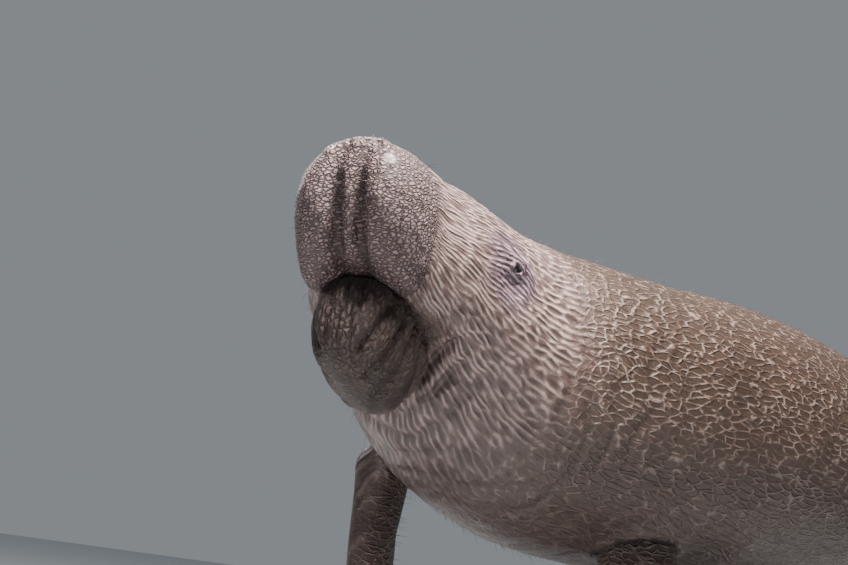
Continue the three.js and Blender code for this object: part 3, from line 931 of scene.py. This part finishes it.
def face_relief(mm, s, y, z):
    """The disc's rear groove, the cleft of the lips, the chin's rolls and the throat's folds."""
    sway, waver = Noise(3), Noise(5)
    side = np.abs(y)
    edge = s - DISC_EDGE - 6 * sway(mm, 60.0)
    cheek = ease(40, 75, side) * (1 - ease(60, 110, z)) * ease(-110, -60, z)
    out = cheek * (2.5 * fold(edge + 26, 16.0) - 7.0 * fold(edge, 10.0))
    out -= 5.0 * fold(side - MEDIAN_GROOVE, 8.0) * (s < 70) * ease(-110, -90, z) * (1 - ease(20, 65, z))
    fan = np.arctan2(s - CHIN["centre"], np.maximum(-z - 40, 1.0)) + 0.1 * sway(mm, 50.0)
    chin = (s < 330) * ease(100, 135, -z) * ease(18, 36, side)
    rolls = np.abs(np.sin(math.pi * (fan + 0.2) / CHIN["spacing"])) ** 0.7
    out += chin * CHIN["depth"] * (rolls - 0.75)
    front = (s < 200) * ease(95, 125, -z) * (1 - ease(22, 46, side)) * (1 - ease(200, 240, -z))
    wrinkles = np.abs(np.sin(y / LIP_WRINKLES["spacing"] + 1.2 * waver(mm, 30.0))) ** 0.6
    out -= front * LIP_WRINKLES["depth"] * (1 - wrinkles)
    under = np.degrees(np.arctan2(-z, side))
    line = s - 282 - 0.9 * (under - 60) + 7 * sway(mm, 60.0)
    throat = ease(34, 50, under)
    for shift, depth, width in THROAT_FOLDS:
        out -= throat * depth * fold(line - shift, width)
        out += throat * depth * 0.5 * fold(line - shift - 18, 12.0)
    return out


def skin_relief(points, lie, seam):
    """How far each point of the skin moves out, in millimetres: folds, lips, lids and nostrils."""
    s, y, z = lie[:, 0], lie[:, 1], lie[:, 2]
    mm = points / MM
    lumps, small = Noise(11), Noise(12)
    body = 1 - ease(0, 60, -z - DEPTH_BELOW(np.clip(s, 0, BODY_LENGTH))) * ease(380, 450, s)
    out = body * ring_folds(mm, s) + eye_relief(mm) + nostril_relief(mm) + face_relief(mm, s, y, z)
    out += body * (0.9 * lumps(mm, 26.0) * ease(60, 200, s) + 2.2 * lumps(mm, 85.0) * ease(250, 500, s))
    out += (s < 330) * 0.7 * small(mm, 9.0)
    # Lips: a rounded margin on both sides of the mouth line, which is sunk.
    away = (1 - np.sqrt(seam)) * SEAM_REACH
    mouth = (seam > 0) * (s < 300) * ease(-210, -150, z)
    out += mouth * (3.0 * fold(away - 13, 7.0) - 4.0 * fold(away, 4.0))
    return out


class MANATEE_OT_skin(bpy.types.Operator):
    """Builds the one skin of the body, jaw and flippers"""

    bl_idname = "manatee.skin"
    bl_label = "Skin"

    def execute(self, context):
        scene = context.scene
        skin = body_object()
        jaw = jaw_object()
        limbs = []
        for i, (name, flipper) in enumerate(FLIPPERS.items()):
            limbs.append(flipper_object(name, flipper, 0.01 + 0.3 * i))
        graph = context.evaluated_depsgraph_get()
        surfaces = [BVHTree.FromObject(thing, graph) for thing in (skin, jaw, *limbs)]
        for thing in (jaw, *limbs):
            join = skin.modifiers.new(thing.name, "BOOLEAN")
            join.operation = "UNION"
            join.solver = "MANIFOLD"
            join.object = thing
        mesh = plain_mesh(skin)
        for thing in (jaw, *limbs):
            old = thing.data
            bpy.data.objects.remove(thing)
            bpy.data.meshes.remove(old)
        work = bmesh.new()
        work.from_mesh(mesh)
        bmesh.ops.remove_doubles(work, verts=work.verts, dist=WELD)
        laid = work.verts.layers.float_vector["lie"]
        front, back, top = ROOT_ZONE.values()
        roots = [v for v in work.verts if front < v[laid].x < back and v[laid].z < top]
        bmesh.ops.remove_doubles(work, verts=roots, dist=ROOT_WELD)
        bmesh.ops.triangulate(work, faces=[f for f in work.faces if len(f.verts) > 4])
        work.to_mesh(mesh)
        work.free()
        points = points_of(mesh)
        s = lies_of(mesh)[:, 0] / MM
        reach = (SEAM_REACH + (ROOT_REACH - SEAM_REACH) * ease(380, 520, s)) * MM
        weight = seam_weights(points, surfaces, reach)
        softened = weight * (0.055 + 0.85 * ease(330, 480, s))
        points = smoothed(points, edges_of(mesh), softened, SMOOTHING_ROUNDS)
        put_points(mesh, points)
        put_values(mesh, "seam", weight)
        eyes = [place * MM for place, _, _ in eye_places().values()]
        subdivided_near(mesh, eyes, EYE_ZONE, EYE_CUTS)
        points = points_of(mesh)
        lie = lies_of(mesh) / MM
        relief = skin_relief(points, lie, values_of(mesh, "seam"))
        put_points(mesh, points + normals_of(mesh) * (relief * MM)[:, None])
        mesh.attributes.remove(mesh.attributes["seam"])
        # How deeply each point is sunk, which the skin's material turns into painted shade.
        put_values(mesh, "hollow", np.clip(-relief / HOLLOW_DEPTH, 0, 1))
        for polygon in mesh.polygons:
            polygon.use_smooth = True
        mesh.materials.clear()
        mesh.materials.append(skin_material(scene.manatee_sizes, scene.manatee_colours))
        skin.name = "manatee_skin"
        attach(skin, "root")
        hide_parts(*FLESH)
        return {"FINISHED"}


class Tree:
    """A Geometry Nodes tree with named inputs, made by one method."""

    def __init__(self, name, inputs):
        self.tree = bpy.data.node_groups.new(name, "GeometryNodeTree")
        self.tree.interface.new_socket("Geometry", in_out="INPUT", socket_type="NodeSocketGeometry")
        self.tree.interface.new_socket("Geometry", in_out="OUTPUT", socket_type="NodeSocketGeometry")
        for label, kind in inputs:
            self.tree.interface.new_socket(label, in_out="INPUT", socket_type="NodeSocket" + kind)
        self.start = self.tree.nodes.new("NodeGroupInput")
        self.end = self.tree.nodes.new("NodeGroupOutput")

    def given(self, label):
        return self.start.outputs[label]

    def node(self, kind, settings=None, inputs=None):
        node = self.tree.nodes.new(kind)
        for key, value in (settings or {}).items():
            setattr(node, key, value)
        for key, value in (inputs or {}).items():
            live = [s for s in node.inputs if s.enabled]
            socket = live[key] if isinstance(key, int) else next(s for s in live if s.name == key)
            if isinstance(value, bpy.types.NodeSocket):
                self.tree.links.new(value, socket)
            else:
                socket.default_value = value
        return [s for s in node.outputs if s.enabled]

    def random(self, kind, low, high, seed):
        inputs = {"Min": low, "Max": high, "Seed": seed}
        return self.node("FunctionNodeRandomValue", {"data_type": kind}, inputs)[0]

    def sums(self, kind, operation, inputs):
        """The result of a Math or VectorMath node."""
        return self.node("ShaderNode" + kind, {"operation": operation}, inputs)[0]

    def named(self, name, kind):
        return self.node("GeometryNodeInputNamedAttribute", {"data_type": kind}, {"Name": name})[0]

    def apply(self, thing, values):
        """Puts the tree on an object with its input values, and gives back the plain mesh that comes out."""
        modifier = thing.modifiers.new(self.tree.name, "NODES")
        modifier.node_group = self.tree
        for item in self.tree.interface.items_tree:
            if item.item_type == "SOCKET" and item.in_out == "INPUT" and item.name in values:
                modifier[item.identifier] = values[item.name]
        graph = bpy.context.evaluated_depsgraph_get()
        mesh = bpy.data.meshes.new_from_object(thing.evaluated_get(graph), depsgraph=graph)
        thing.modifiers.remove(modifier)
        return mesh


def hair_tree():
    """Hairs rooted at random places of a surface, leaning along its "lay" and thinned by its "growth"."""
    tree = Tree(
        "hairs",
        (
            ("Length", "Float"),
            ("Radius", "Float"),
            ("Density", "Float"),
            ("Lean", "Float"),
            ("Map patch", "Float"),
            ("Seed", "Int"),
            ("Material", "Material"),
        ),
    )
    growth = tree.sums("Math", "MULTIPLY", {0: tree.given("Density"), 1: tree.named("growth", "FLOAT")})
    points, normal = tree.node(
        "GeometryNodeDistributePointsOnFaces",
        {"distribute_method": "RANDOM"},
        {"Mesh": tree.given("Geometry"), "Density": growth, "Seed": tree.given("Seed")},
    )[:2]
    points = tree.node(
        "GeometryNodeStoreNamedAttribute",
        {"data_type": "FLOAT_VECTOR", "domain": "POINT"},
        {"Geometry": points, "Name": "root", "Value": tree.named("OFBake", "FLOAT_VECTOR")},
    )[0]
    cone = tree.node(
        "GeometryNodeMeshCone",
        None,
        {
            "Vertices": 4,
            "Side Segments": 3,
            "Radius Top": 0.0001,
            "Radius Bottom": tree.given("Radius"),
            "Depth": tree.given("Length"),
        },
    )[0]
    place = tree.node("GeometryNodeInputPosition")[0]
    height = tree.node("ShaderNodeSeparateXYZ", None, {0: place})[2]
    share = tree.sums("Math", "DIVIDE", {0: height, 1: tree.given("Length")})
    bow = tree.sums("Math", "MULTIPLY", {0: share, 1: share})
    drop = tree.sums("Math", "MULTIPLY", {0: tree.given("Length"), 1: 0.3})
    shift = tree.sums("Math", "MULTIPLY", {0: bow, 1: drop})
    offset = tree.node("ShaderNodeCombineXYZ", None, {"X": shift})[0]
    hair = tree.node("GeometryNodeSetPosition", None, {"Geometry": cone, "Offset": offset})[0]
    lay = tree.named("lay", "FLOAT_VECTOR")
    leaning = tree.sums("VectorMath", "SCALE", {0: lay, "Scale": tree.given("Lean")})
    way = tree.sums("VectorMath", "ADD", {0: normal, 1: leaning})
    stray = tree.random("FLOAT_VECTOR", (-0.35, -0.35, -0.35), (0.35, 0.35, 0.35), 3)
    way = tree.sums("VectorMath", "ADD", {0: way, 1: stray})
    upright = tree.node("FunctionNodeAlignRotationToVector", {"axis": "Z"}, {"Vector": way})[0]
    aimed = tree.node(
        "FunctionNodeAlignRotationToVector",
        {"axis": "X", "pivot_axis": "Z"},
        {"Rotation": upright, "Vector": lay},
    )[0]
    size = tree.random("FLOAT", 0.55, 1.25, 5)
    copies = {"Points": points, "Instance": hair, "Rotation": aimed, "Scale": size}
    hairs = tree.node("GeometryNodeInstanceOnPoints", None, copies)[0]
    real = tree.node("GeometryNodeRealizeInstances", None, {"Geometry": hairs})[0]
    patch = tree.sums("VectorMath", "SCALE", {0: (0.0, 1.0, 0.0), "Scale": tree.given("Map patch")})
    map_place = tree.sums("VectorMath", "ADD", {0: tree.named("root", "FLOAT_VECTOR"), 1: patch})
    mapped = tree.node(
        "GeometryNodeStoreNamedAttribute",
        {"data_type": "FLOAT2", "domain": "CORNER"},
        {"Geometry": real, "Name": "OFBake", "Value": map_place},
    )[0]
    finish = {"Geometry": mapped, "Material": tree.given("Material")}
    ended = tree.node("GeometryNodeSetMaterial", None, finish)[0]
    tree.tree.links.new(ended, tree.end.inputs[0])
    return tree


def put_growth(skin, muzzle):
    """Writes how densely hairs grow, on the muzzle's front or on the body, and which way they lie."""
    mesh = skin.data
    lie = lies_of(mesh) / MM
    s, z = lie[:, 0], lie[:, 2]
    front = (1 - ease(84, 110, s)) * (s < 400)
    lips = (s < 190) * ease(60, 110, -z) * 0.25
    elsewhere = (1 - front) * (0.55 + 0.45 * (1 - ease(500, 1500, s)))
    growth = np.maximum(front, lips) if muzzle else elsewhere
    back = directions(np.clip(s, 0, BODY_LENGTH))[0]
    for name in ("growth", "lay"):
        if name in mesh.attributes:
            mesh.attributes.remove(mesh.attributes[name])
    put_values(mesh, "growth", growth)
    lay = mesh.attributes.new("lay", "FLOAT_VECTOR", "POINT")
    lay.data.foreach_set("vector", back.astype(np.float32).ravel())


class MANATEE_OT_hairs(bpy.types.Operator):
    """Grows the muzzle's stiff bristles and the body's sparse hairs"""

    bl_idname = "manatee.hairs"
    bl_label = "Bristles and hairs"

    def execute(self, context):
        sizes, colours = context.scene.manatee_sizes, context.scene.manatee_colours
        skin = bpy.data.objects["manatee_skin"]
        material = plain_material("hair", colours.hair, 0.5)
        tree = hair_tree()
        for name, muzzle, length, radius, density, lean in (
            ("bristles", True, sizes.bristle_length, sizes.bristle_radius, BRISTLE_DENSITY, 0.2),
            ("body_hairs", False, sizes.hair_length, sizes.hair_radius, HAIR_DENSITY, 0.9),
        ):
            put_growth(skin, muzzle)
            values = {
                "Length": length,
                "Radius": radius,
                "Density": density * 1.0,
                "Lean": lean,
                "Map patch": MAP_PATCH,
                "Seed": sizes.seed,
                "Material": material,
            }
            mesh = tree.apply(skin, values)
            hairs = bpy.data.objects.new(name, mesh)
            context.scene.collection.objects.link(hairs)
            for spare in ("lie", "hollow", "root", "growth", "lay"):
                if spare in mesh.attributes:
                    mesh.attributes.remove(mesh.attributes[spare])
            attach(hairs, "root")
        for name in ("growth", "lay"):
            skin.data.attributes.remove(skin.data.attributes[name])
        return {"FINISHED"}


def solid_object(name, work, material):
    mesh = bpy.data.meshes.new(name)
    work.to_mesh(mesh)
    work.free()
    for polygon in mesh.polygons:
        polygon.use_smooth = True
    mesh.materials.append(material)
    thing = bpy.data.objects.new(name, mesh)
    bpy.context.scene.collection.objects.link(thing)
    return thing


class MANATEE_OT_eyes(bpy.types.Operator):
    """Builds both eyeballs"""

    bl_idname = "manatee.eyes"
    bl_label = "Eyes"

    def execute(self, context):
        sizes, colours = context.scene.manatee_sizes, context.scene.manatee_colours
        material = plain_material("wet eye", colours.eye, 0.12, coat=0.6)
        for name in ("left", "right"):
            low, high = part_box("eye_" + name)
            centre = (Vector(low) + Vector(high)) / 2
            work = bmesh.new()
            where = Matrix.Translation(centre)
            radius = sizes.eye_radius
            bmesh.ops.create_uvsphere(work, u_segments=48, v_segments=32, radius=radius, matrix=where)
            eye = solid_object("eyeball_" + name, work, material)
            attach(eye, "root")
            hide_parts("eye_" + name)
        return {"FINISHED"}


def refinished(name, material):
    """A CAD node with a new material, its mesh and place left as they are."""
    node = bpy.data.objects[name]
    node.data.materials.clear()
    node.data.materials.append(material)
    return node


class MANATEE_OT_stand(bpy.types.Operator):
    """Gives the nails and the stand their finishes"""

    bl_idname = "manatee.stand"
    bl_label = "Nails and stand"

    def execute(self, context):
        colours = context.scene.manatee_colours
        nail = plain_material("nail horn", colours.nail, 0.42, grain=0.8, scale=260.0)
        for side in ("left", "right"):
            for number in (1, 2, 3):
                node = refinished("nail_%s_%d" % (side, number), nail)
        paint = plain_material("satin paint", colours.base, 0.38, coat=0.2, grain=0.3, scale=400.0)
        steel = plain_material("brushed steel", STEEL, 0.3, metallic=1.0, grain=0.4, scale=300.0)
        base = refinished("stand_base", paint)
        for name in ("front", "rear"):
            rod = refinished("stand_rod_" + name, steel)
        return {"FINISHED"}


def camera_matrix(place, azimuth, pitch, roll):
    """A camera that looks along an azimuth from +X towards +Y, pitched up and rolled, in degrees."""
    a, p, r = (math.radians(v) for v in (azimuth, pitch, roll))
    look = Vector((math.cos(a) * math.cos(p), math.sin(a) * math.cos(p), math.sin(p)))
    level = Vector((math.sin(a), -math.cos(a), 0))
    above = level.cross(look)
    right = level * math.cos(r) + above * math.sin(r)
    top = above * math.cos(r) - level * math.sin(r)
    matrix = Matrix((right, top, -look)).transposed().to_4x4()
    return Matrix.Translation(Vector(place)) @ matrix


class MANATEE_OT_stage(bpy.types.Operator):
    """Sets the floor, the lights and the camera"""

    bl_idname = "manatee.stage"
    bl_label = "Stage"

    def execute(self, context):
        scene = context.scene
        colours = scene.manatee_colours
        work = bmesh.new()
        corners = ((-1, -1), (1, -1), (1, 1), (-1, 1))
        work.faces.new([work.verts.new((x * FLOOR_HALF, y * FLOOR_HALF, 0)) for x, y in corners])
        floor = solid_object("floor", work, plain_material("floor", colours.floor, 0.9))
        world = bpy.data.worlds.new("studio")
        world.use_nodes = True
        background = world.node_tree.nodes["Background"]
        background.inputs["Color"].default_value = WORLD_COLOUR
        background.inputs["Strength"].default_value = WORLD_STRENGTH
        scene.world = world
        for name, place, target, size, watts, tint in LIGHTS:
            light = bpy.data.lights.new(name, "AREA")
            light.size = size
            light.energy = watts
            light.color = tint
            thing = bpy.data.objects.new(name, light)
            thing.location = place
            thing.rotation_euler = (Vector(target) - Vector(place)).to_track_quat("-Z", "Y").to_euler()
            scene.collection.objects.link(thing)
        camera = bpy.data.cameras.new("camera")
        camera.sensor_width = SENSOR
        camera.lens = SENSOR * FOCAL_PIXELS / IMAGE_WIDTH
        camera.clip_end = CAMERA_REACH
        view = bpy.data.objects.new("camera", camera)
        view.matrix_world = camera_matrix(CAMERA_PLACE, CAMERA_AZIMUTH, CAMERA_PITCH, CAMERA_ROLL)
        scene.collection.objects.link(view)
        scene.camera = view
        scene.view_settings.view_transform = "AgX"
        scene.view_settings.look = "AgX - Medium High Contrast"
        return {"FINISHED"}


class MANATEE_PT_panel(bpy.types.Panel):
    """Lists the pieces and their sizes"""

    bl_idname = "MANATEE_PT_panel"
    bl_label = "Manatee"
    bl_space_type = "VIEW_3D"
    bl_region_type = "UI"
    bl_category = "Manatee"

    def draw(self, context):
        for group in (context.scene.manatee_sizes, context.scene.manatee_colours):
            for name in group.__annotations__:
                self.layout.prop(group, name)
        for operator in OPERATORS:
            self.layout.operator(operator.bl_idname)


OPERATORS = (MANATEE_OT_skin, MANATEE_OT_hairs, MANATEE_OT_eyes, MANATEE_OT_stand, MANATEE_OT_stage)
CLASSES = (ManateeSizes, ManateeColours, *OPERATORS, MANATEE_PT_panel)


def register():
    for kind in CLASSES:
        bpy.utils.register_class(kind)
    bpy.types.Scene.manatee_sizes = PointerProperty(type=ManateeSizes)
    bpy.types.Scene.manatee_colours = PointerProperty(type=ManateeColours)


def unregister():
    del bpy.types.Scene.manatee_colours
    del bpy.types.Scene.manatee_sizes
    for kind in reversed(CLASSES):
        bpy.utils.unregister_class(kind)


def main():
    register()
    bpy.ops.manatee.skin()
    bpy.ops.manatee.hairs()
    bpy.ops.manatee.eyes()
    bpy.ops.manatee.stand()
    bpy.ops.manatee.stage()


if __name__ == "__main__":
    main()
